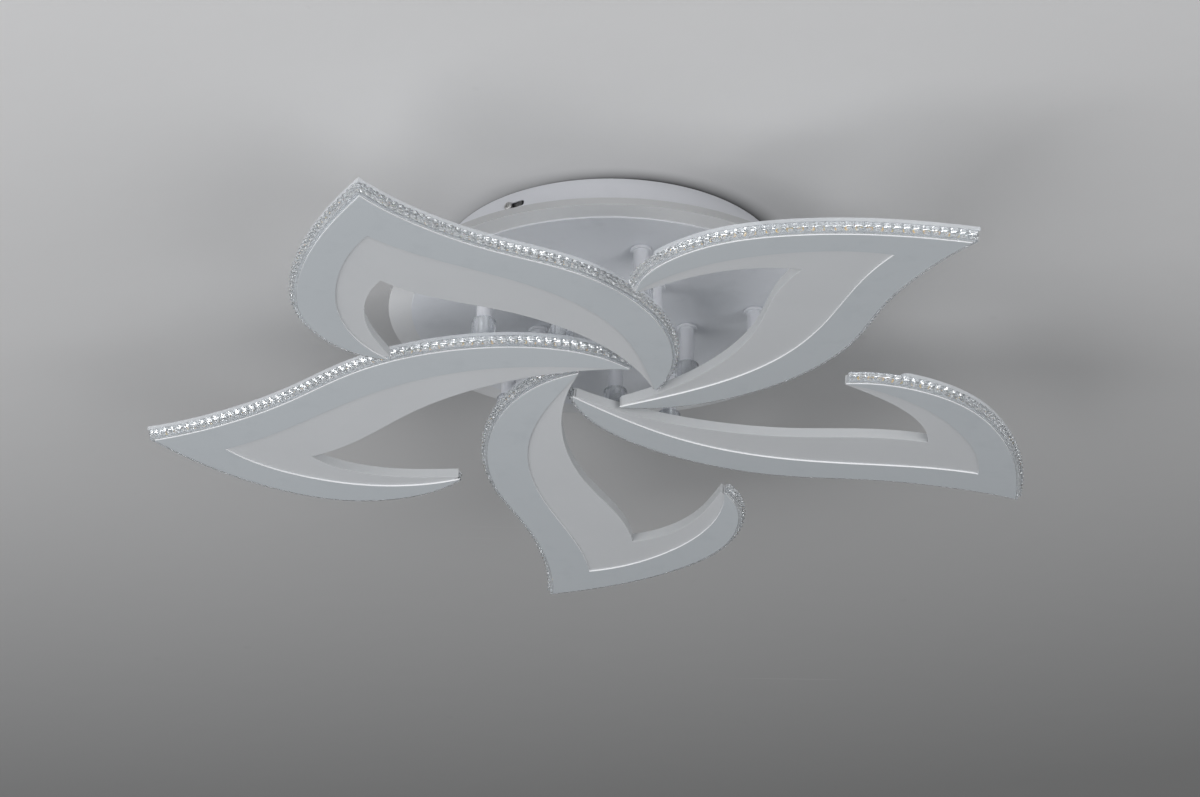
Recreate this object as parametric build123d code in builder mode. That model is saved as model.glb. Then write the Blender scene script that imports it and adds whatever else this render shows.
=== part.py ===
from build123d import *
import os
from math import cos, degrees, hypot, radians, sin, sqrt, tan

# An LED ceiling chandelier: five hooked petals hang on short stems below a round canopy.
# Millimetres, +Z up. The origin is on the ceiling, on the lamp's axis, and the lamp hangs below it.

# Petals, all alike, turned about the lamp's axis and tipped a little about the stems
PETALS = 5
FIRST_TIP_ANGLE = -46.35
PETAL_TILT = 4.06
PETAL_TILT_HEADING = -54.9
PLATE_DROP = 116.6

# Petal outline from above, x towards the tip and y to its left, each run ending at a corner
LONG_OUTER = [(-20.3, 29.4), (16.2, 63.8), (67.9, 83.1), (131.7, 86.1), (191.5, 71.4),
              (261.4, 34.5), (309.1, 15.2), (380, 0)]
SHORT_OUTER = [(151.5, -118.9), (174.3, -132.2), (213.8, -138.8), (253.3, -131.7),
               (297.9, -104.9), (332.4, -71.2), (380, 0)]
LONG_INNER = [(-20.3, 29.2), (27.2, 43.6), (80.1, 53.6), (141.9, 50.5), (206.7, 28.4),
              (261.4, 0), (327.8, -26)]
SHORT_INNER = [(151, -118), (201.6, -118.6), (241.7, -106.2), (275.6, -86.1),
               (305, -59.8), (327.8, -26)]
LONG_WINDOW = [(-19.8, 28.4), (45.6, 33.8), (108.4, 22.8), (167.2, -3.5), (213.8, -34.5),
               (262.2, -55.1)]
SHORT_WINDOW = [(144.9, -116), (175.3, -110.5), (203.7, -102.8), (236.6, -85.1),
                (262.2, -55.1)]
RUN_PIECES = 16
WINDOW_OVERRUN = 30

# Petal layers, from the lower face of the plate upwards
PLATE_THICKNESS = 1.2
DIFFUSER_THICKNESS = 8
DIFFUSER_SETBACK = 2.4
LED_STRIP_THICKNESS = 1.4
LED_STRIP_HEIGHT = 7
LED_STRIP_GAP = 0.4
COVER_THICKNESS = 3
COVER_OVERHANG = 3.6
COVER_LONG_START = 28
COVER_SHORT_START = 42
COVER_END_ROUND = 6

# Crystal strips along the outer edges: a band at the back and beads cut in two rows
CRYSTAL_PITCH = 7
CRYSTAL_HEIGHT = 8.5
CRYSTAL_LIFT = 0.6
CRYSTAL_GAP = 0.5
CRYSTAL_BAND = 2
BEAD_DEPTH = 3.5
BEAD_FLANK = 1.3
BEAD_PROFILE = [(0, 0.12), (0.36, 0.8), (0.52, 0.42), (0.85, 1), (1, 0.35)]
CRYSTAL_MITRE_GAP = 0.3
BEADS_PER_BACK_FACET = 2

# Stems, two on the long arm of each petal: distance along its outer edge and in from it
INNER_STEM_ALONG = 60
INNER_STEM_INSET = 14.2
OUTER_STEM_ALONG = 126.5
OUTER_STEM_INSET = 12.4
ROD_RADIUS = 4.9
ROD_BORE = 3.5
ROD_CLEARANCE = 0.2
ROD_PROTRUSION = 5
ROD_TAIL = 0.8
NUT_ACROSS_FLATS = 13
NUT_FIT = 0.05
PAN_NUT_HEIGHT = 4
PETAL_NUT_HEIGHT = 3
NUT_POCKET_GAP = 0.6
NUT_POCKET_DEPTH = 4.6
BUSH_RADIUS = 7
FLANGE_RADIUS = 8.5
FLANGE_HEIGHT = 2.5
FLANGE_NECK_RADIUS = 7.4
FLANGE_NECK_HEIGHT = 0.8
TUBE_RADIUS = 6
TUBE_LENGTH = 31
SPACER_RADIUS = 9.75
SPACER_SHOULDER = 2.8
EDGE_BREAK = 0.4

# Canopy: a pan against the ceiling, a milky ring below it and a disc below that
PAN_MARGIN = 22.5
PAN_WALL = 1.2
PAN_HEIGHT = 41.8
PAN_RIM_GAP = 0.5
PAN_CORNER = 4.5
RING_OVERHANG = 42.5
RING_THICKNESS = 6
RING_STRIP_ROOM = 4.5
RING_STRIP_HEIGHT = 5
DISC_OVERHANG = 24
DISC_THICKNESS = 1.2

# Ceiling bracket, its side screws and the slots that they hold the pan by
SCREW_AZIMUTH = -126.2
SCREW_DROP = 11.5
SCREW_RADIUS = 2
SCREW_FIT = 0.05
SCREW_HEAD_RADIUS = 3.5
SCREW_HEAD_HEIGHT = 2.2
SCREW_HEAD_ROUND = 1
SCREW_LENGTH = 10
SCREW_HEAD_GAP = 0.1
SLOT_LENGTH = 17
SLOT_HEIGHT = 5
BRACKET_WIDTH = 30
BRACKET_THICKNESS = 1.5
BRACKET_GAP = 0.7
TAB_WIDTH = 20
TAB_DROP = 20
TAB_NECK = 14
SIDE_NUT_ACROSS_FLATS = 7
SIDE_NUT_HEIGHT = 3.2
CEILING_HOLE_CIRCLE = 120
CEILING_HOLE_RADIUS = 2.5
CEILING_SLOT_SPACING = 64
CEILING_SLOT_LENGTH = 25
CEILING_SLOT_WIDTH = 5
CABLE_HOLE_RADIUS = 8

# Driver on the pan's floor and terminal block under the bracket
DRIVER_LENGTH = 82
DRIVER_WIDTH = 30
DRIVER_HEIGHT = 21
DRIVER_ROUND = 2
DRIVER_INSET = 14
DRIVER_BAY_ANGLE = 75.5
TAPE_THICKNESS = 1
TERMINAL_LENGTH = 24
TERMINAL_WIDTH = 17
TERMINAL_HEIGHT = 14
TERMINAL_POLES = 3
TERMINAL_BORE = 1.8
TERMINAL_WELL = 2.3
TERMINAL_PLACE = 88
TERMINAL_ROUND = 1

# Cutters: their reach past a wall, beside an arm and through the petal's layers
CUT_MARGIN = 1
ARM_CUTTER_REACH = 60
LAYER_CUTTER_HEIGHT = 12


# Places along the petal's runs

def run_through(points):
    with BuildLine() as run:
        Spline(*points)
    return run.edge()


class Corner:
    """Two runs of the petal's outline that end at the same corner."""

    def __init__(self, long_points, short_points):
        self.long = run_through(long_points)
        self.short = run_through(short_points)
        self.half = radians(self.long.tangent_at(1).get_angle(self.short.tangent_at(1)) / 2)

    def reach(self, shift):
        """How far past the corner the two runs meet when both move out by this much."""
        return shift / tan(self.half)

    def run(self, side):
        return self.long if side > 0 else self.short


def beside(run, side, along, shift):
    """The point this far along a run and out from it; a run goes on straight past its ends."""
    on_run = min(max(along, 0), run.length)
    tangent = run.tangent_at(on_run, position_mode=PositionMode.LENGTH)
    outwards = Vector(-tangent.Y, tangent.X) * side
    foot = run.position_at(on_run, position_mode=PositionMode.LENGTH)
    return foot + tangent * (along - on_run) + outwards * shift


LEFT, RIGHT = 1, -1
OUTER_EDGE = Corner(LONG_OUTER, SHORT_OUTER)
INNER_EDGE = Corner(LONG_INNER, SHORT_INNER)
WINDOW_EDGE = Corner(LONG_WINDOW, SHORT_WINDOW)


def shifted_run(corner, side, shift):
    run = corner.run(side)
    stations = [run.length * piece / RUN_PIECES for piece in range(RUN_PIECES)]
    stations.append(run.length + corner.reach(shift))
    return [beside(run, side, along, shift) for along in stations]


def area_within(corner, shift, overrun=0, mode=Mode.ADD):
    """The area that two runs enclose, moved out by a shift, closed from arm to arm."""
    long_side = shifted_run(corner, LEFT, shift)
    short_side = shifted_run(corner, RIGHT, shift)
    short_side[-1] = long_side[-1]
    long_start = beside(corner.long, LEFT, -overrun, shift)
    short_start = beside(corner.short, RIGHT, -overrun, shift)
    with BuildLine() as outline:
        Spline(*long_side)
        Spline(*reversed(short_side))
        if overrun:
            Line(short_side[0], short_start)
            Line(long_start, long_side[0])
        Line(short_start, long_start)
    make_face(outline.edges(), mode=mode)


def band_between(corner, inner, outer):
    """The band that follows two runs between two shifts, with square ends."""
    with BuildLine() as outline:
        for shift in (inner, outer):
            long_side = shifted_run(corner, LEFT, shift)
            short_side = shifted_run(corner, RIGHT, shift)
            short_side[-1] = long_side[-1]
            Spline(*long_side)
            Spline(*reversed(short_side))
        Line(beside(corner.long, LEFT, 0, inner), beside(corner.long, LEFT, 0, outer))
        Line(beside(corner.short, RIGHT, 0, inner), beside(corner.short, RIGHT, 0, outer))
    make_face(outline.edges())


# Planes of the petal that points along +X

TILT_ALONG = sin(radians(PETAL_TILT)) * cos(radians(PETAL_TILT_HEADING))
TILT_ACROSS = sin(radians(PETAL_TILT)) * sin(radians(PETAL_TILT_HEADING))
TILT_UP = cos(radians(PETAL_TILT))
PLATE_PLANE = Plane(
    origin=(0, 0, -PLATE_DROP),
    x_dir=(TILT_UP, 0, -TILT_ALONG),
    z_dir=(TILT_ALONG, TILT_ACROSS, TILT_UP),
)
DIFFUSER_TOP = PLATE_THICKNESS + DIFFUSER_THICKNESS
COVER_TOP = DIFFUSER_TOP + COVER_THICKNESS
PETAL_NUT_FOOT = DIFFUSER_TOP - PETAL_NUT_HEIGHT


def height_over(place, level):
    """Height of a petal level straight above or below a place."""
    fall = (place.X * TILT_ALONG + place.Y * TILT_ACROSS) / TILT_UP
    return -PLATE_DROP - fall + level / TILT_UP


def on_petal(place, level):
    """Where a vertical stem at this place meets a petal level, in the petal's plane."""
    return PLATE_PLANE.to_local_coords(Vector(place.X, place.Y, height_over(place, level)))


# Levels and radii of the canopy

STEM_PLACES = [
    beside(OUTER_EDGE.long, LEFT, INNER_STEM_ALONG, -INNER_STEM_INSET),
    beside(OUTER_EDGE.long, LEFT, OUTER_STEM_ALONG, -OUTER_STEM_INSET),
]
TURNS = [FIRST_TIP_ANGLE + 360 / PETALS * number for number in range(PETALS)]
STEM_CIRCLE = max(hypot(place.X, place.Y) for place in STEM_PLACES)
NUT_REACH = NUT_ACROSS_FLATS / sqrt(3)
HOLE_RADIUS = ROD_RADIUS + ROD_CLEARANCE

PAN_RADIUS = STEM_CIRCLE + PAN_MARGIN
PAN_FOOT = -PAN_RIM_GAP - PAN_HEIGHT
PAN_FLOOR = PAN_FOOT + PAN_WALL
RING_RADIUS = PAN_RADIUS + RING_OVERHANG
RING_BORE = STEM_CIRCLE + BUSH_RADIUS + RING_STRIP_ROOM
RING_FOOT = PAN_FOOT - RING_THICKNESS
DISC_RADIUS = PAN_RADIUS + DISC_OVERHANG
DISC_FOOT = RING_FOOT - DISC_THICKNESS
FLANGE_FOOT = DISC_FOOT - FLANGE_HEIGHT
TUBE_FOOT = FLANGE_FOOT - TUBE_LENGTH

TAB_FACE = PAN_RADIUS - PAN_WALL - BRACKET_GAP
SLOT_TURN = degrees((SLOT_LENGTH - SLOT_HEIGHT) / 2 / PAN_RADIUS)


def write(part, name):
    part.label = name
    export_step(part, f"parts/{name}.step")


def radial_plane(azimuth, distance, height):
    """A plane facing outwards from the axis, with its x axis level."""
    turn = radians(azimuth)
    return Plane(
        origin=(distance * cos(turn), distance * sin(turn), height),
        x_dir=(-sin(turn), cos(turn), 0),
        z_dir=(cos(turn), sin(turn), 0),
    )


def turned_plane(azimuth, height):
    """A level plane with its x axis turned about the lamp's axis."""
    turn = radians(azimuth)
    return Plane(origin=(0, 0, height), x_dir=(cos(turn), sin(turn), 0), z_dir=(0, 0, 1))


os.makedirs("parts", exist_ok=True)

# Petal face plate

with BuildPart() as petal_plate:
    with BuildSketch(PLATE_PLANE):
        area_within(OUTER_EDGE, 0)
        area_within(INNER_EDGE, 0, WINDOW_OVERRUN, Mode.SUBTRACT)
    extrude(amount=PLATE_THICKNESS)

# Petal diffuser, the thick milky sheet on the plate

with BuildPart() as petal_diffuser:
    with BuildSketch(PLATE_PLANE.offset(PLATE_THICKNESS)):
        area_within(OUTER_EDGE, -DIFFUSER_SETBACK)
        area_within(WINDOW_EDGE, 0, WINDOW_OVERRUN, Mode.SUBTRACT)
    extrude(amount=DIFFUSER_THICKNESS)
    with BuildSketch(PLATE_PLANE.offset(DIFFUSER_TOP)):
        with Locations(*[on_petal(place, DIFFUSER_TOP) for place in STEM_PLACES]):
            Circle(NUT_REACH + NUT_POCKET_GAP)
    extrude(amount=-NUT_POCKET_DEPTH, mode=Mode.SUBTRACT)

# LED strip of the petal, on edge round the diffuser's outer side

STRIP_INNER = LED_STRIP_GAP - DIFFUSER_SETBACK
with BuildPart() as petal_led_strip:
    with BuildSketch(PLATE_PLANE.offset(PLATE_THICKNESS)):
        band_between(OUTER_EDGE, STRIP_INNER, STRIP_INNER + LED_STRIP_THICKNESS)
    extrude(amount=LED_STRIP_HEIGHT)

# Petal cover, a clear sheet over the diffuser that the stems hold, with rounded ends

COVER_ENDS = [(LEFT, COVER_LONG_START), (RIGHT, COVER_SHORT_START)]


def cut_arm(side, along):
    """Cuts an arm off square to its outer edge, this far along it."""
    run = OUTER_EDGE.run(side)
    back = run.tangent_at(along, position_mode=PositionMode.LENGTH) * -2 * ARM_CUTTER_REACH
    out = beside(run, side, along, ARM_CUTTER_REACH)
    deep = beside(run, side, along, -ARM_CUTTER_REACH)
    with BuildLine() as outline:
        Polyline(out, deep, deep + back, out + back, close=True)
    make_face(outline.edges(), mode=Mode.SUBTRACT)


with BuildPart() as petal_cover:
    with BuildSketch(PLATE_PLANE.offset(DIFFUSER_TOP)) as cover_area:
        area_within(OUTER_EDGE, COVER_OVERHANG)
        area_within(INNER_EDGE, 0, WINDOW_OVERRUN, Mode.SUBTRACT)
        for side, along in COVER_ENDS:
            cut_arm(side, along)
        for side, along in COVER_ENDS:
            end = beside(OUTER_EDGE.run(side), side, along, 0)
            fillet(cover_area.vertices().sort_by_distance(end)[:2], COVER_END_ROUND)
    extrude(amount=COVER_THICKNESS)
    with Locations(*[(place.X, place.Y, height_over(place, COVER_TOP)) for place in STEM_PLACES]):
        Cylinder(HOLE_RADIUS, LAYER_CUTTER_HEIGHT, mode=Mode.SUBTRACT)

# Crystal strips: at each level the beads stand out by a share of their depth


def strip_outline(side, share):
    run = OUTER_EDGE.run(side)
    back_off = CRYSTAL_MITRE_GAP / 2 / sin(OUTER_EDGE.half)
    root = CRYSTAL_GAP + CRYSTAL_BAND
    span = run.length + OUTER_EDGE.reach(root) - back_off
    beads = round(span / CRYSTAL_PITCH)
    roots = [beside(run, side, span * bead / beads, root) for bead in range(beads + 1)]
    front = []
    for here, following in zip(roots, roots[1:]):
        step = (following - here).normalized()
        stand_out = Vector(-step.Y, step.X) * side * BEAD_DEPTH * share
        flank = step * BEAD_FLANK * share
        front += [here, here + flank + stand_out, following - flank + stand_out]
    back_span = run.length + OUTER_EDGE.reach(CRYSTAL_GAP) - back_off
    facets = round(beads / BEADS_PER_BACK_FACET)
    back = [
        beside(run, side, back_span * facet / facets, CRYSTAL_GAP) for facet in range(facets + 1)
    ]
    return front + [roots[-1]] + back[::-1]


def flat_faced(strip):
    """The same solid with every facet on a true plane."""
    return Solid(Shell([Face(facet.outer_wire()) for facet in strip.faces()])).clean()


def crystal_strip(side):
    with BuildPart() as ruled:
        for rise, share in BEAD_PROFILE:
            with BuildSketch(PLATE_PLANE.offset(CRYSTAL_LIFT + CRYSTAL_HEIGHT * rise)):
                Polygon(*strip_outline(side, share), align=None)
        loft(ruled=True)
    with BuildPart() as strip:
        add(flat_faced(ruled.part))
    return strip


crystal_strip_long = crystal_strip(LEFT)
crystal_strip_short = crystal_strip(RIGHT)

# Stem pieces of one petal, from the pan down

STEM_SPOTS = [(place.X, place.Y) for place in STEM_PLACES]

with BuildPart() as pan_nuts:
    with BuildSketch(Plane.XY.offset(PAN_FLOOR)):
        with Locations(*STEM_SPOTS):
            RegularPolygon(NUT_REACH, 6)
            Circle(ROD_RADIUS + NUT_FIT, mode=Mode.SUBTRACT)
    extrude(amount=PAN_NUT_HEIGHT)

with BuildPart() as ring_bushes:
    with BuildSketch(Plane.XY.offset(RING_FOOT)):
        with Locations(*STEM_SPOTS):
            Circle(BUSH_RADIUS)
            Circle(HOLE_RADIUS, mode=Mode.SUBTRACT)
    extrude(amount=RING_THICKNESS)

with BuildPart() as stem_flanges:
    with BuildSketch(Plane.XY.offset(FLANGE_FOOT)):
        with Locations(*STEM_SPOTS):
            Circle(FLANGE_RADIUS)
            Circle(HOLE_RADIUS, mode=Mode.SUBTRACT)
    extrude(amount=FLANGE_HEIGHT - FLANGE_NECK_HEIGHT)
    lower_rims = stem_flanges.faces().filter_by(Plane.XY).group_by(Axis.Z)[0].edges()
    chamfer(lower_rims.filter_by(lambda rim: rim.radius > HOLE_RADIUS + EDGE_BREAK), EDGE_BREAK)
    with BuildSketch(Plane.XY.offset(DISC_FOOT - FLANGE_NECK_HEIGHT)):
        with Locations(*STEM_SPOTS):
            Circle(FLANGE_NECK_RADIUS)
            Circle(HOLE_RADIUS, mode=Mode.SUBTRACT)
    extrude(amount=FLANGE_NECK_HEIGHT)

with BuildPart() as stem_tubes:
    with BuildSketch(Plane.XY.offset(TUBE_FOOT)):
        with Locations(*STEM_SPOTS):
            Circle(TUBE_RADIUS)
            Circle(HOLE_RADIUS, mode=Mode.SUBTRACT)
    extrude(amount=TUBE_LENGTH)

with BuildPart() as stem_spacers:
    for place in STEM_PLACES:
        drop = TUBE_FOOT - height_over(place, 0)
        with BuildSketch(Plane.XY.offset(TUBE_FOOT)):
            with Locations((place.X, place.Y)):
                Circle(SPACER_RADIUS)
                Circle(HOLE_RADIUS, mode=Mode.SUBTRACT)
        extrude(amount=-drop)
    split(bisect_by=PLATE_PLANE.offset(COVER_TOP), keep=Keep.TOP)
    upper_rims = stem_spacers.faces().filter_by(Plane.XY).edges()
    fillet(upper_rims.filter_by(lambda rim: rim.radius > TUBE_RADIUS), SPACER_SHOULDER)

with BuildPart() as petal_nuts:
    with BuildSketch(PLATE_PLANE.offset(PETAL_NUT_FOOT)):
        with Locations(*[on_petal(place, PETAL_NUT_FOOT) for place in STEM_PLACES]):
            RegularPolygon(NUT_REACH, 6)
    extrude(amount=PETAL_NUT_HEIGHT)
    with Locations(*[(place.X, place.Y, height_over(place, DIFFUSER_TOP)) for place in STEM_PLACES]):
        Cylinder(ROD_RADIUS + NUT_FIT, LAYER_CUTTER_HEIGHT, mode=Mode.SUBTRACT)

with BuildPart() as stem_rods:
    rod_top = PAN_FLOOR + PAN_NUT_HEIGHT + ROD_PROTRUSION
    for place in STEM_PLACES:
        with BuildSketch(Plane.XY.offset(rod_top)):
            with Locations((place.X, place.Y)):
                Circle(ROD_RADIUS)
                Circle(ROD_BORE, mode=Mode.SUBTRACT)
        extrude(amount=height_over(place, PETAL_NUT_FOOT - ROD_TAIL) - rod_top)

# Every petal is the same set of pieces, turned about the axis

petal_pieces = {
    "petal_plate": petal_plate,
    "petal_diffuser": petal_diffuser,
    "petal_led_strip": petal_led_strip,
    "petal_cover": petal_cover,
    "crystal_strip_long": crystal_strip_long,
    "crystal_strip_short": crystal_strip_short,
}
for name, piece in petal_pieces.items():
    for number, turn in enumerate(TURNS, 1):
        with BuildPart() as turned:
            add(piece.part, rotation=(0, 0, turn))
        write(turned.part, f"{name}_{number}")

# Like pieces of the ten stems share a node

stem_pieces = {
    "pan_nuts": pan_nuts,
    "ring_bushes": ring_bushes,
    "stem_flanges": stem_flanges,
    "stem_tubes": stem_tubes,
    "stem_spacers": stem_spacers,
    "petal_nuts": petal_nuts,
    "stem_rods": stem_rods,
}
for name, piece in stem_pieces.items():
    with BuildPart() as group:
        for turn in TURNS:
            add(piece.part, rotation=(0, 0, turn))
    write(group.part, name)

# Stem holes through the canopy

ALL_SPOTS = [place.rotate(Axis.Z, turn) for turn in TURNS for place in STEM_PLACES]
ALL_SPOTS = [(spot.X, spot.Y) for spot in ALL_SPOTS]

# Canopy pan, open towards the ceiling

with BuildPart() as canopy_pan:
    with BuildSketch(Plane.XY.offset(PAN_FOOT)):
        Circle(PAN_RADIUS)
    extrude(amount=PAN_HEIGHT)
    fillet(canopy_pan.faces().sort_by(Axis.Z)[0].edges(), PAN_CORNER)
    offset(amount=-PAN_WALL, openings=canopy_pan.faces().sort_by(Axis.Z)[-1])
    with BuildSketch(Plane.XY.offset(PAN_FOOT)):
        with Locations(*ALL_SPOTS):
            Circle(HOLE_RADIUS)
    extrude(amount=PAN_WALL, mode=Mode.SUBTRACT)
    for azimuth in (SCREW_AZIMUTH, SCREW_AZIMUTH + 180):
        with BuildSketch(radial_plane(azimuth + SLOT_TURN, PAN_RADIUS + CUT_MARGIN, -SCREW_DROP)):
            SlotOverall(SLOT_LENGTH, SLOT_HEIGHT)
        extrude(amount=-PAN_WALL - 2 * CUT_MARGIN, mode=Mode.SUBTRACT)
write(canopy_pan.part, "canopy_pan")

# Milky ring under the pan, lit from its bore

with BuildPart() as glow_ring:
    with BuildSketch(Plane.XY.offset(RING_FOOT)):
        Circle(RING_RADIUS)
        Circle(RING_BORE, mode=Mode.SUBTRACT)
    extrude(amount=RING_THICKNESS)
write(glow_ring.part, "glow_ring")

with BuildPart() as ring_led_strip:
    with BuildSketch(Plane.XY.offset(RING_FOOT)):
        Circle(RING_BORE - LED_STRIP_GAP)
        Circle(RING_BORE - LED_STRIP_GAP - LED_STRIP_THICKNESS, mode=Mode.SUBTRACT)
    extrude(amount=RING_STRIP_HEIGHT)
write(ring_led_strip.part, "ring_led_strip")

# Disc that closes the canopy from below

with BuildPart() as canopy_disc:
    with BuildSketch(Plane.XY.offset(DISC_FOOT)):
        Circle(DISC_RADIUS)
        with Locations(*ALL_SPOTS):
            Circle(HOLE_RADIUS, mode=Mode.SUBTRACT)
    extrude(amount=DISC_THICKNESS)
write(canopy_disc.part, "canopy_disc")

# Ceiling bracket, a strap with a folded tab at each end

STRAP_HALF = TAB_FACE - TAB_NECK
with BuildPart() as ceiling_bracket:
    with BuildSketch(turned_plane(SCREW_AZIMUTH, -BRACKET_THICKNESS)):
        Rectangle(2 * STRAP_HALF, BRACKET_WIDTH)
        Rectangle(2 * TAB_FACE, TAB_WIDTH)
        with Locations((-CEILING_SLOT_SPACING / 2, 0), (CEILING_SLOT_SPACING / 2, 0)):
            SlotOverall(CEILING_SLOT_LENGTH, CEILING_SLOT_WIDTH, mode=Mode.SUBTRACT)
        with Locations((-CEILING_HOLE_CIRCLE / 2, 0), (CEILING_HOLE_CIRCLE / 2, 0)):
            Circle(CEILING_HOLE_RADIUS, mode=Mode.SUBTRACT)
        Circle(CABLE_HOLE_RADIUS, mode=Mode.SUBTRACT)
    extrude(amount=BRACKET_THICKNESS)
    with BuildSketch(turned_plane(SCREW_AZIMUTH, -TAB_DROP)):
        with Locations((TAB_FACE - BRACKET_THICKNESS / 2, 0), (BRACKET_THICKNESS / 2 - TAB_FACE, 0)):
            Rectangle(BRACKET_THICKNESS, TAB_WIDTH)
    extrude(amount=TAB_DROP)
    for azimuth in (SCREW_AZIMUTH, SCREW_AZIMUTH + 180):
        with BuildSketch(radial_plane(azimuth, TAB_FACE, -SCREW_DROP)):
            Circle(SCREW_RADIUS + SCREW_FIT)
        extrude(amount=-BRACKET_THICKNESS, mode=Mode.SUBTRACT)
write(ceiling_bracket.part, "ceiling_bracket")

# Nuts fixed behind the tabs

with BuildPart() as bracket_nuts:
    for azimuth in (SCREW_AZIMUTH, SCREW_AZIMUTH + 180):
        with BuildSketch(radial_plane(azimuth, TAB_FACE - BRACKET_THICKNESS, -SCREW_DROP)):
            RegularPolygon(SIDE_NUT_ACROSS_FLATS / sqrt(3), 6)
            Circle(SCREW_RADIUS + SCREW_FIT, mode=Mode.SUBTRACT)
        extrude(amount=-SIDE_NUT_HEIGHT)
write(bracket_nuts.part, "bracket_nuts")

# Side screws, through the pan's slots into those nuts


def side_screw(azimuth, name):
    seat = radial_plane(azimuth, PAN_RADIUS + SCREW_HEAD_GAP, -SCREW_DROP)
    with BuildPart() as screw:
        with BuildSketch(seat):
            Circle(SCREW_HEAD_RADIUS)
        extrude(amount=SCREW_HEAD_HEIGHT)
        fillet(screw.edges().sort_by(Axis(seat.origin, seat.z_dir))[-1], SCREW_HEAD_ROUND)
        with BuildSketch(seat):
            Circle(SCREW_RADIUS)
        extrude(amount=-SCREW_LENGTH)
    write(screw.part, name)


side_screw(SCREW_AZIMUTH, "side_screw_a")
side_screw(SCREW_AZIMUTH + 180, "side_screw_b")

# Terminal block under the bracket, with a wire hole and a screw well for each pole

with BuildPart() as terminal_block:
    with BuildSketch(turned_plane(SCREW_AZIMUTH, -BRACKET_THICKNESS)):
        with Locations((TERMINAL_PLACE, 0)):
            RectangleRounded(TERMINAL_WIDTH, TERMINAL_LENGTH, TERMINAL_ROUND)
    extrude(amount=-TERMINAL_HEIGHT)
    pole_pitch = TERMINAL_LENGTH / TERMINAL_POLES
    with BuildSketch(turned_plane(SCREW_AZIMUTH, -BRACKET_THICKNESS - TERMINAL_HEIGHT)):
        with Locations((TERMINAL_PLACE, 0)):
            with GridLocations(TERMINAL_WIDTH / 2, pole_pitch, 2, TERMINAL_POLES):
                Circle(TERMINAL_WELL)
    extrude(amount=TERMINAL_HEIGHT / 2, mode=Mode.SUBTRACT)
    middle = -BRACKET_THICKNESS - TERMINAL_HEIGHT / 2
    with BuildSketch(radial_plane(SCREW_AZIMUTH, TERMINAL_PLACE + TERMINAL_WIDTH / 2, middle)):
        with GridLocations(pole_pitch, 1, TERMINAL_POLES, 1):
            Circle(TERMINAL_BORE)
    extrude(amount=-TERMINAL_WIDTH, mode=Mode.SUBTRACT)
write(terminal_block.part, "terminal_block")

# LED driver on the pan's floor, in the widest bay between the stems

bay = TURNS[0] + DRIVER_BAY_ANGLE
driver_place = STEM_CIRCLE - DRIVER_INSET - DRIVER_WIDTH / 2
with BuildPart() as driver_tape:
    with BuildSketch(turned_plane(bay, PAN_FLOOR)):
        with Locations((driver_place, 0)):
            Rectangle(DRIVER_WIDTH - 2 * DRIVER_ROUND, DRIVER_LENGTH - 2 * DRIVER_ROUND)
    extrude(amount=TAPE_THICKNESS)
write(driver_tape.part, "driver_tape")

with BuildPart() as led_driver:
    with BuildSketch(turned_plane(bay, PAN_FLOOR + TAPE_THICKNESS)):
        with Locations((driver_place, 0)):
            RectangleRounded(DRIVER_WIDTH, DRIVER_LENGTH, DRIVER_ROUND)
    extrude(amount=DRIVER_HEIGHT)
    chamfer(led_driver.faces().sort_by(Axis.Z)[-1].edges(), EDGE_BREAK)
write(led_driver.part, "led_driver")
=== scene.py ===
from math import cos, pi, radians, sin, tan

import bmesh
import bpy
from mathutils import Matrix, Vector


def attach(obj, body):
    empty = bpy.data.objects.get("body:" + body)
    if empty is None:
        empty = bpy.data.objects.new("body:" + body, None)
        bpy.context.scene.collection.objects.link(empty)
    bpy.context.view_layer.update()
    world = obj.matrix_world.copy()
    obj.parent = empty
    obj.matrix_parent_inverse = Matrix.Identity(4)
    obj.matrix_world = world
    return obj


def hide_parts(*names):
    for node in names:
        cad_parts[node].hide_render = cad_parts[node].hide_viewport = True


# Looks of the LED ceiling chandelier. The frame is in metres and the sizes here are in millimetres.

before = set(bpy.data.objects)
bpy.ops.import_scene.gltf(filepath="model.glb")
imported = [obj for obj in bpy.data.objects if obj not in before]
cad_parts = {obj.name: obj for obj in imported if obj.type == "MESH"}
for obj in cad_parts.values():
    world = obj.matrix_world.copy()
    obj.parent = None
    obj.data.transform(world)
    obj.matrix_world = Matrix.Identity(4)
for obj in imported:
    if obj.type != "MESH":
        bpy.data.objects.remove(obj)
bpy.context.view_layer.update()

MM = 0.001

# Petals: the plate's plane, and the outer edge of the petal whose tip points along +X
TURNS = [-46.35 + 72 * number for number in range(5)]
PLATE_DROP = 116.6
TILT = radians(4.06)
TILT_HEADING = radians(-54.9)
LONG_RUN = [(-20.3, 29.4), (-6.5, 46.2), (10.3, 60), (29.2, 70.7), (49.5, 78.4), (70.6, 83.6),
            (92.2, 86.5), (113.9, 87.2), (135.6, 85.7), (157.1, 82.1), (178.1, 76.4), (198.3, 68.4),
            (217.7, 58.6), (236.7, 47.9), (255.7, 37.4), (275.3, 28), (295.5, 19.9), (316.2, 13),
            (337.1, 7.1), (358.4, 2.7), (380, 0)]
SHORT_RUN = [(151.5, -118.9), (163.6, -127.2), (177, -133.2), (191.1, -136.9), (205.7, -138.6),
             (220.4, -138.5), (234.9, -136.7), (249.1, -133.1), (262.8, -127.7), (275.7, -120.8),
             (287.9, -112.6), (299.5, -103.6), (310.5, -94), (321, -83.7), (330.9, -72.9),
             (340.3, -61.6), (349.1, -49.9), (357.5, -37.8), (365.4, -25.4), (372.9, -12.8), (380, 0)]
TIP_HALF_ANGLE = radians(33.196)

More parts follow.
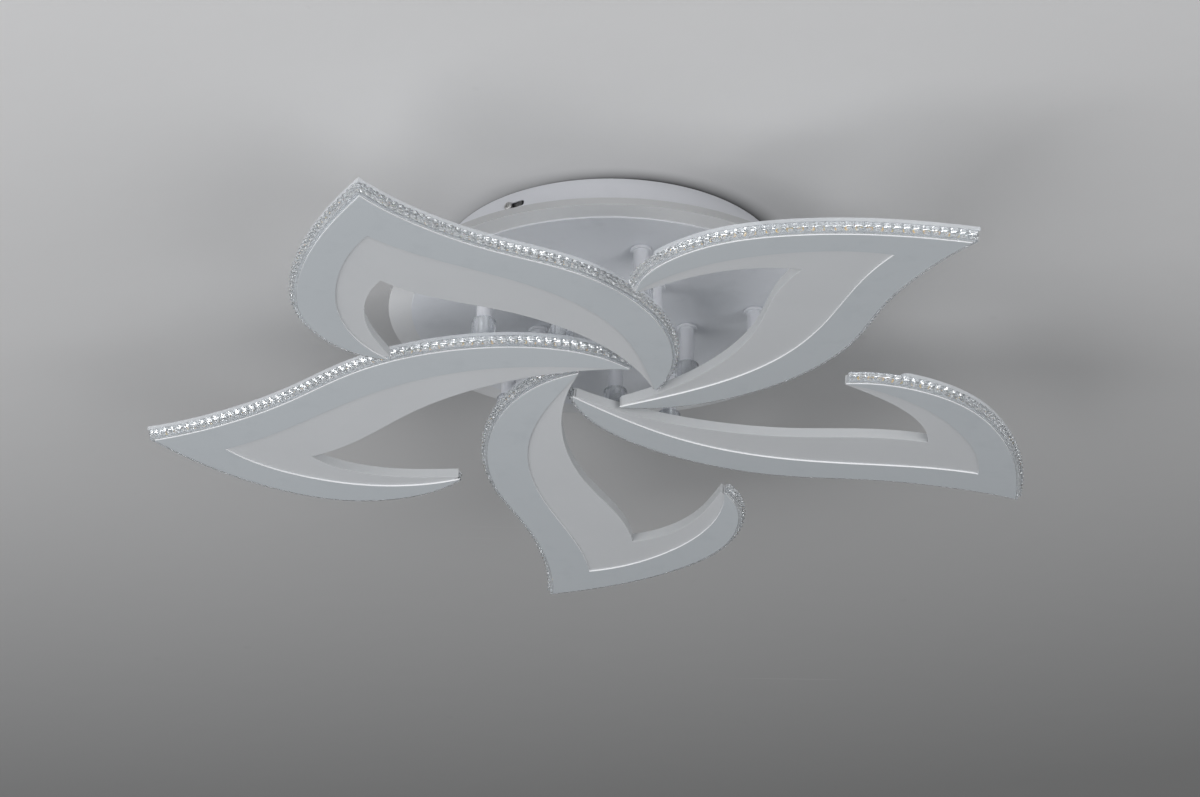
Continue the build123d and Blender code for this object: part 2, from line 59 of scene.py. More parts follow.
# Crystal strips: rows of a bead from its foot up, and how far each column stands out there
CRYSTAL_LIFT = 0.6
CRYSTAL_BACK = 0.5
CRYSTAL_ROOT = 2.5
CRYSTAL_PITCH = 7
CRYSTAL_MITRE = 0.3
BEAD_COLUMNS = [0, 0.16, 0.34, 0.5, 0.66, 0.84]
BEAD_ROWS = [
    (0, 0, 0, 0),
    (1.5, 0, 0, 0),
    (2.1, 0.45, 1.1, 1.35),
    (3, 1.1, 2.5, 3),
    (3.9, 1.1, 2.5, 3),
    (4.7, 0.6, 1.2, 1.4),
    (5.1, 1.6, 2.2, 2.3),
    (7.1, 2.8, 3.4, 3.5),
    (8.5, 0.9, 1.1, 1.2),
]

# LED chips on the petal strips, facing the crystals
CHIP_PITCH = 8.3
CHIP_END_ROOM = 9
CHIP_LENGTH = 3.5
CHIP_HEIGHT = 2.8
CHIP_DEPTH = 0.8
CHIP_FOOT = -0.58
CHIP_LEVEL = 4.7
CHIP_CORNER = 0.5
CHIP_RIM = 0.4
CHIP_WELL = 0.25
CHIP_WELL_SHARE = 0.94
CHIP_CORNERS = 8

# Stem rods and their thread
STEM_SPOTS = [(30.91, 55.73), (89.38, 73.8)]
ROD_TOP = -32.1
ROD_RADIUS = 4.88
ROD_CORE = 4.4
ROD_BORE = 3.5
THREAD_PITCH = 1.25
THREAD_STEPS = 18
ROD_SIDES = 36
ROD_FOOT_LEVEL = 5.4
THREAD_ROOT = ROD_CORE - 0.05
THREAD_PROFILE = [(THREAD_ROOT, 0.02), (ROD_RADIUS, 0.5), (THREAD_ROOT, 0.98)]

# Side screws: pan head with a cross recess
SCREW_AZIMUTHS = {"a": -126.2, "b": 53.8}
SCREW_DROP = 11.5
SCREW_SEAT = 138.52
HEAD_SIDES = 48
CROSS_REACH = 1.75
CROSS_CORNER = radians(15)
CROSS_TURN = radians(20)
HEAD_PROFILE = [(2, -10), (2, 0), (3.5, 0), (3.5, 1.1), (3.3, 1.62), (2.9, 1.95), (2.4, 2.13)]
CROSS_PROFILE = [(1, 2.16), (0.9, 1.2), (0.45, 0.7)]

# Cut edges of a sheet: from this lean of a face to this one
EDGE_LEAN = (0.35, 0.75)

# Stage, in metres: the ceiling, its painted shadow round the pan and its painted fall of light, and
# the lamps
CEILING_REACH = 6.0
CEILING_HOLE = 0.13
CEILING_SIDES = 96
# Radii and sideways spread of the painted shadow round the pan
RIM_SHADOW_RADII = (0.1384, 0.156)
RIM_SHADOW_SPREAD = (-0.16, 0.03)
# Where the painted fall of light on the ceiling starts and where it is full
FALLOFF_SPREAD = (0.1, 1.35)
LAMP_AIM = (0, 0, -0.05)
LAMP_COLOUR = (0.99, 0.99, 1.0)
LAMPS = {
    "key_light": ((-1.6, -1.2, -1.2), 2.6, 38.5),
    "side_light": ((1.4, -1.8, -1.1), 2.2, 25.5),
    "fill_light": ((1.2, -2.4, -1.6), 3.0, 13),
}
ROOM_GLOW = ((0.95, 0.97, 1.0), 0.12)
ROOM_BACKGROUND = ((0.8, 0.81, 0.82), 0.6)

# Camera found from the photograph
CAMERA_PLACE = (0.002146, -2.4002, -1.3275)
CAMERA_YAW, CAMERA_PITCH, CAMERA_ROLL = 0.0045, 0.4649, -0.0119
CAMERA_LENS = 100.394
SENSOR = 36
CAMERA_CLIP = (0.01, 100)


class Value:
    """A socket of a node tree that takes part in sums like a number."""

    def __init__(self, owner, socket):
        self.owner = owner
        self.socket = socket

    def __add__(self, other):
        return self.owner.sum("ADD", self, other)

    def __sub__(self, other):
        return self.owner.sum("SUBTRACT", self, other)

    def __rsub__(self, other):
        return self.owner.sum("SUBTRACT", other, self)

    def __mul__(self, other):
        return self.owner.sum("MULTIPLY", self, other)

    def __pow__(self, other):
        return self.owner.sum("POWER", self, other)

    __radd__ = __add__
    __rmul__ = __mul__


class Nodes:
    """A node tree under way, of a finish or of the room."""

    def __init__(self, owner):
        owner.use_nodes = True
        self.tree = owner.node_tree
        self.tree.nodes.clear()

    def feed(self, socket, value):
        if isinstance(value, Value):
            value = value.socket
        if isinstance(value, bpy.types.NodeSocket):
            self.tree.links.new(value, socket)
        elif isinstance(value, tuple) and socket.type == "RGBA":
            socket.default_value = (*value, 1)
        else:
            socket.default_value = value

    def node(self, kind, settings=None, values=None):
        made = self.tree.nodes.new("ShaderNode" + kind)
        for name, setting in (settings or {}).items():
            setattr(made, name, setting)
        for name, value in (values or {}).items():
            self.feed(made.inputs[name], value)
        return made

    def sum(self, operation, first, second):
        made = self.node("Math", {"operation": operation}, {0: first, 1: second})
        return Value(self, made.outputs[0])

    def mixed(self, factor, first, second):
        return self.node("MixShader", None, {0: factor, 1: first, 2: second}).outputs[0]


class Finish(Nodes):
    """A material under way, with its place taken from the object's own coordinates."""

    def __init__(self, name):
        self.material = bpy.data.materials.new(name)
        super().__init__(self.material)
        where = self.node("TexCoord")
        self.place = where.outputs["Object"]
        self.facing = where.outputs["Normal"]

    def noise(self, scale, detail=2.0, roughness=0.5):
        values = {"Vector": self.place, "Scale": scale, "Detail": detail, "Roughness": roughness}
        return Value(self, self.node("TexNoise", None, values).outputs[0])

    def cells(self, scale):
        values = {"Vector": self.place, "Scale": scale}
        return Value(self, self.node("TexVoronoi", None, values).outputs["Distance"])

    def strokes(self, stretch, scale):
        """Noise drawn out along one direction."""
        drawn = self.node("VectorMath", {"operation": "MULTIPLY"}, {0: self.place, 1: stretch})
        values = {"Vector": drawn.outputs[0], "Scale": scale, "Detail": 2.0}
        return Value(self, self.node("TexNoise", None, values).outputs[0])

    def band(self, value, low, high):
        """0 below low, 1 above high and even between them."""
        values = {"Value": value, "From Min": low, "From Max": high}
        return Value(self, self.node("MapRange", None, values).outputs[0])

    def blend(self, factor, first, second):
        made = self.node("Mix", {"data_type": "RGBA"}, {0: factor, 6: first, 7: second})
        return Value(self, made.outputs[2])

    def cut_edge(self):
        """0 on the level faces of a sheet and 1 on its upright edges."""
        parts = self.node("SeparateXYZ", None, {0: self.facing})
        lean = self.sum("ABSOLUTE", Value(self, parts.outputs[2]), 0.0)
        return self.band(1 - lean, *EDGE_LEAN)

    def bump(self, height, depth_mm):
        values = {"Height": height, "Distance": depth_mm * MM, "Strength": 1.0}
        return Value(self, self.node("Bump", None, values).outputs[0])

    def surface(self, values):
        return self.node("BsdfPrincipled", None, values).outputs[0]

    def through(self, tint=(1.0, 1.0, 1.0)):
        return self.node("BsdfTransparent", None, {"Color": tint}).outputs[0]

    def close(self, shader):
        self.tree.links.new(shader, self.node("OutputMaterial").inputs["Surface"])
        return self.material


def shaded(colour, share):
    return tuple(part * share for part in colour)


def plate_paint():
    """Grey-blue satin paint; its upright cut edges are painted near white, as a painted highlight."""
    paint = Finish("plate_paint")
    cloud = paint.noise(9, 3)
    smudge = paint.band(paint.noise(46, 5, 0.6), 0.52, 0.72)
    peel = paint.noise(1400, 2)
    edge = paint.cut_edge()
    colour = paint.blend(cloud, (0.545, 0.583, 0.61), (0.59, 0.625, 0.65))
    colour = paint.blend(smudge * 0.2, colour, (0.47, 0.505, 0.53))
    # painted highlight: the upright cut edges get a near-white colour
    colour = paint.blend(edge, colour, (0.9, 0.91, 0.92))
    return paint.close(paint.surface({
        "Base Color": colour,
        "Roughness": 0.4 + cloud * 0.12 + smudge * 0.1 - edge * 0.2,
        "IOR": 1.5,
        "Specular IOR Level": 0.35,
        "Normal": paint.bump(peel, 0.05),
    }))


def canopy_paint():
    """White satin paint on the sheet steel of the canopy and on the stems; its upright faces carry
    painted shade.
    """
    paint = Finish("canopy_paint")
    cloud = paint.noise(7, 3)
    smudge = paint.band(paint.noise(38, 5, 0.6), 0.54, 0.74)
    peel = paint.noise(1100, 2)
    edge = paint.cut_edge()
    colour = paint.blend(cloud, (0.8, 0.82, 0.86), (0.84, 0.86, 0.89))
    # painted shade: the upright walls and edges get a darker colour
    colour = paint.blend(edge * 0.8, colour, (0.7, 0.71, 0.745))
    colour = paint.blend(smudge * 0.22, colour, (0.6, 0.62, 0.65))
    return paint.close(paint.surface({
        "Base Color": colour,
        "Roughness": 0.36 + cloud * 0.12 + smudge * 0.12 - edge * 0.06,
        "IOR": 1.5,
        "Specular IOR Level": 0.4,
        "Normal": paint.bump(peel, 0.06),
    }))


def milky_acrylic(name, face, edge_shade_colour, scatter):
    """Milky light-diffusing sheet; its upright cut edges get a darker colour than its faces, as
    painted shade.
    """
    acrylic = Finish(name)
    cloud = acrylic.noise(14, 4)
    dust = acrylic.band(acrylic.noise(210, 6, 0.7), 0.6, 0.8)
    edge = acrylic.cut_edge()
    colour = acrylic.blend(cloud, shaded(face, 0.96), shaded(face, 1.04))
    # painted shade: the upright cut edges are darkened
    colour = acrylic.blend(edge, colour, edge_shade_colour)
    colour = acrylic.blend(dust * 0.25, colour, (0.58, 0.575, 0.565))
    return acrylic.close(acrylic.surface({
        "Base Color": colour,
        "Roughness": 0.45 + dust * 0.15 + cloud * 0.06,
        "IOR": 1.49,
        "Specular IOR Level": 0.4,
        "Subsurface Weight": scatter,
        "Subsurface Radius": (1.0, 0.98, 0.95),
        "Subsurface Scale": 4 * MM,
        "Normal": acrylic.bump(acrylic.noise(600, 3), 0.03),
    }))


def see_through(finish, clearness, haze_colour, haze, lamp_tint):
    """Clear moulding with a little milk in it, which lets the lamps reach what is behind it."""
    milk = finish.surface({
        "Base Color": haze_colour,
        "Roughness": 0.2 + haze * 0.1,
        "IOR": 1.5,
    })
    body = finish.mixed(haze, clearness, milk)
    lamp_ray = finish.node("LightPath").outputs["Is Shadow Ray"]
    return finish.close(finish.mixed(lamp_ray, body, finish.through(lamp_tint)))


def crystal():
    """Clear moulded beads with polished facets."""
    glass = Finish("crystal")
    cloud = glass.noise(30, 2)
    scuff = glass.band(glass.noise(380, 6, 0.7), 0.6, 0.78)
    colour = glass.blend(cloud, (0.86, 0.88, 0.9), (0.93, 0.945, 0.955))
    milk = glass.blend(cloud, (0.5, 0.52, 0.53), (0.6, 0.615, 0.63))
    clearness = glass.surface({
        "Base Color": colour,
        "Roughness": 0.03 + scuff * 0.08,
        "IOR": 1.52,
        "Transmission Weight": 1.0,
        "Normal": glass.bump(glass.noise(160, 2), 0.02),
    })
    return see_through(glass, clearness, milk, 0.1 + cloud * 0.08, (0.72, 0.745, 0.76))


def clear_acrylic():
    """Clear turned acrylic of the stem spacers."""
    acrylic = Finish("clear_acrylic")
    cloud = acrylic.noise(40, 2)
    lathe_marks = acrylic.noise(500, 2)
    colour = acrylic.blend(cloud, (0.9, 0.93, 0.96), (0.97, 0.98, 1))
    milk = acrylic.blend(cloud, (0.7, 0.72, 0.76), (0.78, 0.8, 0.83))
    clearness = acrylic.surface({
        "Base Color": colour,
        "Roughness": 0.05 + cloud * 0.06,
        "IOR": 1.49,
        "Transmission Weight": 1.0,
        "Normal": acrylic.bump(lathe_marks, 0.04),
    })
    return see_through(acrylic, clearness, milk, 0.26 + cloud * 0.08, (0.85, 0.87, 0.9))


def cover_sheet():
    """Thin clear sheet; its cut edges are frosted by the saw and catch the light."""
    sheet = Finish("cover_sheet")
    cloud = sheet.noise(25, 3)
    edge = sheet.cut_edge()
    haze = sheet.surface({
        "Base Color": sheet.blend(cloud, (0.74, 0.77, 0.8), (0.82, 0.84, 0.86)),
        "Roughness": 0.12 + cloud * 0.06 + edge * 0.3,
        "IOR": 1.49,
        "Normal": sheet.bump(sheet.noise(300, 3), 0.03),
    })
    share = 0.16 + edge * 0.4 + cloud * 0.04
    return sheet.close(sheet.mixed(share, sheet.through((0.95, 0.965, 0.975)), haze))


def zinc_steel(name, share):
    """Zinc-plated steel with spangle and stains; a share below 1 darkens the whole finish, as painted
    shade.
    """
    steel = Finish(name)
    spangle = steel.cells(420)
    cloud = steel.noise(60, 4)
    stain = steel.band(steel.noise(130, 5, 0.65), 0.55, 0.75)
    colour = steel.blend(spangle, shaded((0.5, 0.5, 0.49), share), shaded((0.7, 0.7, 0.68), share))
    colour = steel.blend(stain * 0.5, colour, shaded((0.4, 0.38, 0.35), share))
    return steel.close(steel.surface({
        "Base Color": colour,
        "Metallic": 1.0,
        "Roughness": 0.24 + cloud * 0.14 + stain * 0.14,
        "Normal": steel.bump(cloud + spangle * 0.5, 0.03),
    }))


def nylon():
    """Off-white moulded nylon."""
    plastic = Finish("nylon")
    cloud = plastic.noise(50, 3)
    colour = plastic.blend(cloud, (0.5, 0.49, 0.46), (0.6, 0.59, 0.56))
    return plastic.close(plastic.surface({
        "Base Color": colour,
        "Roughness": 0.4 + cloud * 0.2,
        "Normal": plastic.bump(plastic.noise(500, 2), 0.03),
    }))


def led_board():
    """Pale board of the LED strips."""
    board = Finish("led_board")
    cloud = board.noise(40, 3)
    colour = board.blend(cloud, (0.42, 0.43, 0.44), (0.5, 0.51, 0.52))
    return board.close(board.surface({
        "Base Color": colour,
        "Roughness": 0.3 + cloud * 0.15,
        "Normal": board.bump(board.noise(800, 2), 0.02),
    }))


def chip_phosphor():
    """Amber phosphor in the wells of the LED packages."""
    phosphor = Finish("chip_phosphor")
    cloud = phosphor.noise(900, 3)
    colour = phosphor.blend(cloud, (0.8, 0.42, 0.05), (0.95, 0.6, 0.1))
    return phosphor.close(phosphor.surface({
        "Base Color": colour,
        "Roughness": 0.3 + cloud * 0.2,
        "Subsurface Weight": 0.2,
        "Subsurface Scale": 0.5 * MM,
        "Normal": phosphor.bump(cloud, 0.02),
    }))


def foam():
    """Black foam tape."""
    tape = Finish("foam")
    pores = tape.cells(1600)
    colour = tape.blend(pores, (0.04, 0.04, 0.04), (0.1, 0.1, 0.1))
    return tape.close(tape.surface({
        "Base Color": colour,
        "Roughness": 0.8 + pores * 0.15,
        "Normal": tape.bump(pores, 0.12),
    }))


def driver_case():
    """Pale plastic case of the LED driver."""
    case = Finish("driver_case")
    cloud = case.noise(30, 4)
    scuff = case.band(case.noise(240, 6, 0.7), 0.6, 0.78)
    colour = case.blend(cloud, (0.66, 0.67, 0.66), (0.74, 0.75, 0.74))
    colour = case.blend(scuff * 0.35, colour, (0.5, 0.5, 0.49))
    return case.close(case.surface({
        "Base Color": colour,
        "Roughness": 0.38 + scuff * 0.2 + cloud * 0.06,
        "Normal": case.bump(case.noise(900, 2), 0.05),
    }))


def ceiling_plaster():
    """Painted plaster, seen only from the room below it.

    The dark ring round the pan is a painted shadow, and the fall of brightness away from the lamp is
    painted shade.
    """
    plaster = Finish("ceiling_plaster")
    parts = plaster.node("SeparateXYZ", None, {0: plaster.place})
    across, away = Value(plaster, parts.outputs[0]), Value(plaster, parts.outputs[1])
    cloud = plaster.noise(1.6, 3)
    mottle = plaster.noise(24, 5, 0.6)
    mark = plaster.band(plaster.noise(15, 8, 0.75), 0.66, 0.74)
    spot = 1 - plaster.band(plaster.cells(9), 0.02, 0.05)
    scratch = plaster.band(plaster.strokes((1, 45, 1), 3.2), 0.74, 0.78)
    reach = (across * across + away * away) ** 0.5
    # painted shadow: the ceiling is darkened just outside the pan's rim, darkest to the right and
    # fading out to the left
    painted_rim_shadow = (1 - plaster.band(reach, *RIM_SHADOW_RADII)) ** 1.6 * plaster.band(across, *RIM_SHADOW_SPREAD)
    # painted shade: the ceiling gets darker away from the lamps and towards the right
    painted_falloff = plaster.band(away + across * 0.3, *FALLOFF_SPREAD)
    colour = plaster.blend(cloud, (0.69, 0.69, 0.69), (0.73, 0.73, 0.73))
    colour = plaster.blend(painted_falloff, colour, (0.42, 0.42, 0.415))
    colour = plaster.blend(mark * 0.14 + spot * 0.12, colour, (0.4, 0.4, 0.4))
    colour = plaster.blend(scratch * 0.12, colour, (0.95, 0.95, 0.95))
    colour = plaster.blend(painted_rim_shadow * 0.85, colour, (0.06, 0.06, 0.06))
    surface = plaster.surface({
        "Base Color": colour,
        "Roughness": 0.8 + mottle * 0.15,
        "Specular IOR Level": 0.12,
        "Normal": plaster.bump(mottle, 0.4),
    })
    side = plaster.node("NewGeometry").outputs["Backfacing"]
    return plaster.close(plaster.mixed(side, surface, plaster.through()))


FINISHES = {
    "plate_paint": plate_paint(),
    "canopy_paint": canopy_paint(),
    # Each milky finish: face colour, painted shade colour of the upright edges, scatter
    "milky_acrylic": milky_acrylic(
        "milky_acrylic", (0.65, 0.667, 0.683), (0.55, 0.565, 0.575), 0.3),
    "ring_acrylic": milky_acrylic(
        "ring_acrylic", (0.83, 0.835, 0.84), (0.47, 0.475, 0.48), 0.12),
    "crystal": crystal(),
    "clear_acrylic": clear_acrylic(),
    "cover_sheet": cover_sheet(),
    "zinc_steel": zinc_steel("zinc_steel", 1),
    # painted shade: a darkened copy of the zinc for the bracket inside the pan
    "shaded_zinc": zinc_steel("shaded_zinc", 0.3),
    "nylon": nylon(),
    "led_board": led_board(),
    "foam": foam(),
    "driver_case": driver_case(),
}
PHOSPHOR = chip_phosphor()

NODE_FINISHES = {
    "petal_plate": "plate_paint",
    "petal_diffuser": "milky_acrylic",
    "petal_led_strip": "led_board",
    "petal_cover": "cover_sheet",
    "crystal_strip_long": "crystal",
    "crystal_strip_short": "crystal",
    "pan_nuts": "zinc_steel",
    "ring_bushes": "nylon",
    "stem_flanges": "canopy_paint",
    "stem_tubes": "canopy_paint",
    "stem_spacers": "clear_acrylic",
    "petal_nuts": "zinc_steel",
    "stem_rods": "zinc_steel",
    "canopy_pan": "canopy_paint",
    "glow_ring": "ring_acrylic",
    "ring_led_strip": "led_board",
    "canopy_disc": "canopy_paint",
    "driver_tape": "foam",
    "led_driver": "driver_case",
    "ceiling_bracket": "shaded_zinc",
    "bracket_nuts": "zinc_steel",
    "terminal_block": "nylon",
    "side_screw_a": "zinc_steel",
    "side_screw_b": "zinc_steel",
}

for name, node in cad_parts.items():
    kind = name if name in NODE_FINISHES else name.rsplit("_", 1)[0]
    node.data.materials.clear()
    node.data.materials.append(FINISHES[NODE_FINISHES[kind]])


def made_piece(name, points, faces, finish, body="lamp"):
    """A piece of the object from points in millimetres."""
    mesh = bpy.data.meshes.new(name)
    mesh.from_pydata([Vector(point) * MM for point in points], [], faces)
    mesh.materials.append(FINISHES[finish])
    mesh.update()
    made = bpy.data.objects.new(name, mesh)
    bpy.context.scene.collection.objects.link(made)
    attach(made, body)
    return made


def petal_place(turn):
    """From a petal's own plane, tip along +X, to its place in the lamp."""
    normal = Vector((sin(TILT) * cos(TILT_HEADING), sin(TILT) * sin(TILT_HEADING), cos(TILT)))
    along = Vector((normal.z, 0, -normal.x)).normalized()
    plane = Matrix((along, normal.cross(along), normal)).transposed().to_4x4()
    plane.translation = (0, 0, -PLATE_DROP)
    return Matrix.Rotation(radians(turn), 4, "Z") @ plane


class Run:
    """One run of the petal's outer edge, measured along it from the arm's end."""

    def __init__(self, stations, side):
        self.stations = [Vector(station) for station in stations]
        self.side = side
        self.step = self.length_of(self.stations) / (len(stations) - 1)
        self.length = self.step * (len(stations) - 1)

    @staticmethod
    def length_of(points):
        return sum((here - before).length for before, here in zip(points, points[1:]))

    def curve(self, along):
        """Place and direction on the smooth curve through the stations."""
        last = len(self.stations) - 1
        number = min(max(int(along / self.step), 0), last - 1)
        share = along / self.step - number
        b, c = self.stations[number], self.stations[number + 1]
        a = self.stations[number - 1] if number else b * 2 - c
        d = self.stations[number + 2] if number + 2 <= last else c * 2 - b
        pull, push = (c - a) / 2, (d - b) / 2
        bend, twist = (c - b) * 3 - pull * 2 - push, (b - c) * 2 + pull + push
        if share > 1:
            return c + push * (share - 1), push.normalized()
        place = b + pull * share + bend * share ** 2 + twist * share ** 3
        return place, (pull + bend * 2 * share + twist * 3 * share ** 2).normalized()

    def beside(self, along, out, level):
        """A point this far along, out from the edge, and above the plate's lower face."""
        place, ahead = self.curve(along)
        place = place + Vector((-ahead.y, ahead.x)) * self.side * out
        return Vector((place.x, place.y, level))


RUNS = {"long": Run(LONG_RUN, 1), "short": Run(SHORT_RUN, -1)}


def tube_faces(loops, sides, first=0):
    """Quads between closed loops of points that follow each other in the list."""
    return [
        (first + loop * sides + side, first + loop * sides + (side + 1) % sides,
         first + (loop + 1) * sides + (side + 1) % sides, first + (loop + 1) * sides + side)
        for loop in range(loops - 1) for side in range(sides)
    ]


def bead_stand_outs(row, column):
    """How far a bead stands out at a column, the same on both halves."""
    middle = len(BEAD_COLUMNS) // 2
    return (0, *row[1:])[column if column <= middle else len(BEAD_COLUMNS) - column]


def crystal_strip(run, place, name):
    """A clear strip with a row of cut beads: round facets below, a slanting table above."""
    back_off = CRYSTAL_MITRE / 2 / sin(TIP_HALF_ANGLE)
    front = run.length + CRYSTAL_ROOT / tan(TIP_HALF_ANGLE) - back_off
    back = run.length + CRYSTAL_BACK / tan(TIP_HALF_ANGLE) - back_off
    beads = round(front / CRYSTAL_PITCH)
    columns = [(bead + share, number) for bead in range(beads)
               for number, share in enumerate(BEAD_COLUMNS)] + [(beads, 0)]
    points = []
    for along, column in columns:
        for row in BEAD_ROWS:
            out = CRYSTAL_ROOT + bead_stand_outs(row, column)
            points.append(run.beside(front * along / beads, out, CRYSTAL_LIFT + row[0]))
        for row in (BEAD_ROWS[-1], BEAD_ROWS[0]):
            points.append(run.beside(back * along / beads, CRYSTAL_BACK, CRYSTAL_LIFT + row[0]))
    around = len(BEAD_ROWS) + 2
    faces = tube_faces(len(columns), around)
    faces += [tuple(range(around)), tuple(range(len(points) - 1, len(points) - 1 - around, -1))]
    placed = [place @ point for point in points]
    return outward(made_piece(name, placed, faces, "crystal"))


def outward(made):
    """Turns a closed mesh's faces to look outwards."""
    work = bmesh.new()
    work.from_mesh(made.data)
    bmesh.ops.recalc_face_normals(work, faces=work.faces)
    work.to_mesh(made.data)
    work.free()
    return made


def chip_loop(length, height, corner):
    """Eight corners of an upright rectangle with cut corners: along and up."""
    x, y = length / 2, height / 2
    return [(x - corner, -y), (x, -y + corner), (x, y - corner), (x - corner, y),
            (-x + corner, y), (-x, y - corner), (-x, -y + corner), (-x + corner, -y)]


def led_chips(place, name):
    """The LED packages round one petal, each with a phosphor well facing the crystals."""
    points, faces = [], []
    wells = []
    rim_length, rim_height = CHIP_LENGTH - 2 * CHIP_RIM, CHIP_HEIGHT - 2 * CHIP_RIM
    loops = [
        (CHIP_LENGTH, CHIP_HEIGHT, 0),
        (CHIP_LENGTH, CHIP_HEIGHT, CHIP_DEPTH),
        (rim_length, rim_height, CHIP_DEPTH),
        (rim_length * CHIP_WELL_SHARE, rim_height * CHIP_WELL_SHARE, CHIP_DEPTH - CHIP_WELL),
    ]
    for run in RUNS.values():
        chips = int((run.length - 2 * CHIP_END_ROOM) / CHIP_PITCH) + 1
        for chip in range(chips):
            middle = CHIP_END_ROOM + chip * CHIP_PITCH
            first = len(points)
            for length, height, out in loops:
                for along, up in chip_loop(length, height, CHIP_CORNER):
                    points.append(run.beside(middle + along, CHIP_FOOT + out, CHIP_LEVEL + up))
            faces += tube_faces(len(loops), CHIP_CORNERS, first)
            wells.append(len(faces))
            faces.append(tuple(range(len(points) - CHIP_CORNERS, len(points))))
            faces.append(tuple(range(first + CHIP_CORNERS - 1, first - 1, -1)))
    made = made_piece(name, [place @ point for point in points], faces, "led_board")
    made.data.materials.append(PHOSPHOR)
    outward(made)
    for well in wells:
        made.data.polygons[well].material_index = 1
    return made


def stem_rod(spot, foot, name):
    """A hollow rod with a thread wound round it over its whole length."""
    x, y = spot
    points, faces = [], []
    pipe = [(ROD_BORE, foot), (ROD_CORE, foot), (ROD_CORE, ROD_TOP), (ROD_BORE, ROD_TOP),
            (ROD_BORE, foot)]
    for radius, level in pipe:
        for side in range(ROD_SIDES):
            angle = 2 * pi * side / ROD_SIDES
            points.append((x + radius * cos(angle), y + radius * sin(angle), level))
    faces += tube_faces(len(pipe), ROD_SIDES)
    first = len(points)
    steps = int((ROD_TOP - foot - THREAD_PITCH) / THREAD_PITCH * THREAD_STEPS)
    rise = THREAD_PITCH / THREAD_STEPS
    for step in range(steps):
        angle = 2 * pi * step / THREAD_STEPS
        for radius, up in THREAD_PROFILE:
            level = foot + step * rise + up * THREAD_PITCH
            points.append((x + radius * cos(angle), y + radius * sin(angle), level))
    for step in range(steps - 1):
        base = first + 3 * step
        faces += [(base, base + 3, base + 4, base + 1), (base + 1, base + 4, base + 5, base + 2)]
    made = made_piece(name, points, faces, "zinc_steel")
    for face in made.data.polygons:
        face.use_smooth = True
    return made


def cross_reach(angle):
    """Distance from the screw's axis to the cross recess's edge in this direction."""
    folded = abs((angle + pi / 4) % (pi / 2) - pi / 4)
    if folded <= CROSS_CORNER + 1e-6:
        return CROSS_REACH / cos(folded)
    return CROSS_REACH * tan(CROSS_CORNER) / sin(folded)


def side_screw(azimuth, name, body):
    """A pan-head screw, its axis pointing out of the pan's wall."""
    outwards = Vector((cos(radians(azimuth)), sin(radians(azimuth)), 0))
    level = Vector((-outwards.y, outwards.x, 0))
    seat = outwards * SCREW_SEAT + Vector((0, 0, -SCREW_DROP))
    points = []
    for radius, out in HEAD_PROFILE + CROSS_PROFILE:
        for side in range(HEAD_SIDES):
            angle = 2 * pi * side / HEAD_SIDES
            reach = radius * cross_reach(angle) if (radius, out) in CROSS_PROFILE else radius
            points.append(seat + outwards * out + level * reach * cos(angle + CROSS_TURN)
                          + Vector((0, 0, reach * sin(angle + CROSS_TURN))))
    loops = len(HEAD_PROFILE) + len(CROSS_PROFILE)
    faces = tube_faces(loops, HEAD_SIDES)
    faces.append(tuple(range(HEAD_SIDES)))
    faces.append(tuple(range((loops - 1) * HEAD_SIDES, loops * HEAD_SIDES)))
    return outward(made_piece(name, points, faces, "zinc_steel", body=body))


for number, turn in enumerate(TURNS, 1):
    place = petal_place(turn)
    for kind, run in RUNS.items():
        strip = crystal_strip(run, place, f"beads_{kind}_{number}")
        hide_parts(f"crystal_strip_{kind}_{number}")
    led_chips(place, f"led_chips_{number}")

flat = petal_place(0)
for number, turn in enumerate(TURNS, 1):
    for which, (x, y) in enumerate(STEM_SPOTS, 1):
        normal = flat.to_3x3() @ Vector((0, 0, 1))
        fall = (x * normal.x + y * normal.y) / normal.z
        foot = -PLATE_DROP - fall + ROD_FOOT_LEVEL / normal.z
        spot = Matrix.Rotation(radians(turn), 2) @ Vector((x, y))
        stem_rod(spot, foot, f"rod_{number}_{which}")
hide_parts("stem_rods")

for letter, azimuth in SCREW_AZIMUTHS.items():
    screw = side_screw(azimuth, f"pan_screw_{letter}", f"screw_{letter}")
    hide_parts(f"side_screw_{letter}")


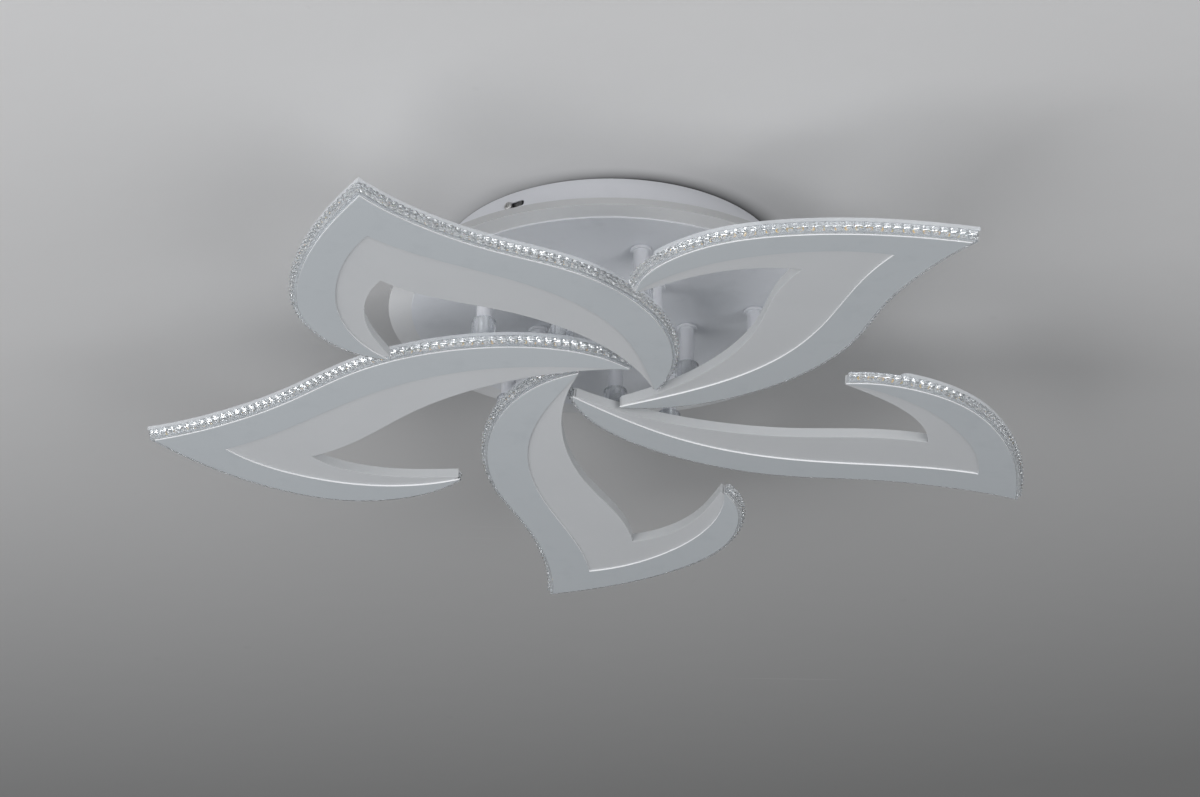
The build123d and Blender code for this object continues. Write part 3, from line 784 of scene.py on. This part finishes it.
def ceiling():
    """The ceiling, open above the canopy where the pan hides it."""
    angles = [2 * pi * side / CEILING_SIDES for side in range(CEILING_SIDES)]
    points = [(radius * cos(angle), radius * sin(angle), 0)
              for radius in (CEILING_HOLE, CEILING_REACH) for angle in angles]
    mesh = bpy.data.meshes.new("ceiling")
    mesh.from_pydata(points, [], tube_faces(2, CEILING_SIDES))
    mesh.materials.append(ceiling_plaster())
    made = bpy.data.objects.new("ceiling", mesh)
    bpy.context.scene.collection.objects.link(made)
    if mesh.polygons[0].normal.z > 0:
        mesh.flip_normals()


def area_light(name, place, size, power):
    light = bpy.data.lights.new(name, "AREA")
    light.shape = "DISK"
    light.size = size
    light.energy = power
    light.color = LAMP_COLOUR
    made = bpy.data.objects.new(name, light)
    made.location = place
    made.rotation_euler = (Vector(LAMP_AIM) - Vector(place)).to_track_quat("-Z", "Y").to_euler()
    bpy.context.scene.collection.objects.link(made)


ceiling()
for name, (place, size, power) in LAMPS.items():
    area_light(name, place, size, power)

world = bpy.data.worlds.new("room")
bpy.context.scene.world = world
room = Nodes(world)
rays = room.node("LightPath").outputs
either_ray = room.sum("MAXIMUM", rays["Is Camera Ray"], rays["Is Glossy Ray"])
any_ray = room.sum("MAXIMUM", either_ray, rays["Is Transmission Ray"])
glow, pale = [room.node("Background", None, {"Color": colour, "Strength": strength}).outputs[0]
              for colour, strength in (ROOM_GLOW, ROOM_BACKGROUND)]
room.node("OutputWorld", None, {"Surface": room.mixed(any_ray, glow, pale)})

camera = bpy.data.cameras.new("photo_camera")
camera.lens = CAMERA_LENS
camera.sensor_width = SENSOR
camera.clip_start, camera.clip_end = CAMERA_CLIP
camera_object = bpy.data.objects.new("photo_camera", camera)
bpy.context.scene.collection.objects.link(camera_object)
bearing = (Matrix.Rotation(CAMERA_YAW, 3, "Z") @ Matrix.Rotation(CAMERA_PITCH, 3, "X")
           @ Matrix.Rotation(CAMERA_ROLL, 3, "Y"))
rightwards, ahead, upwards = bearing.col
stand = Matrix((rightwards, upwards, -ahead)).transposed().to_4x4()
stand.translation = CAMERA_PLACE
camera_object.matrix_world = stand
bpy.context.scene.camera = camera_object

bpy.context.scene.view_settings.view_transform = "Standard"
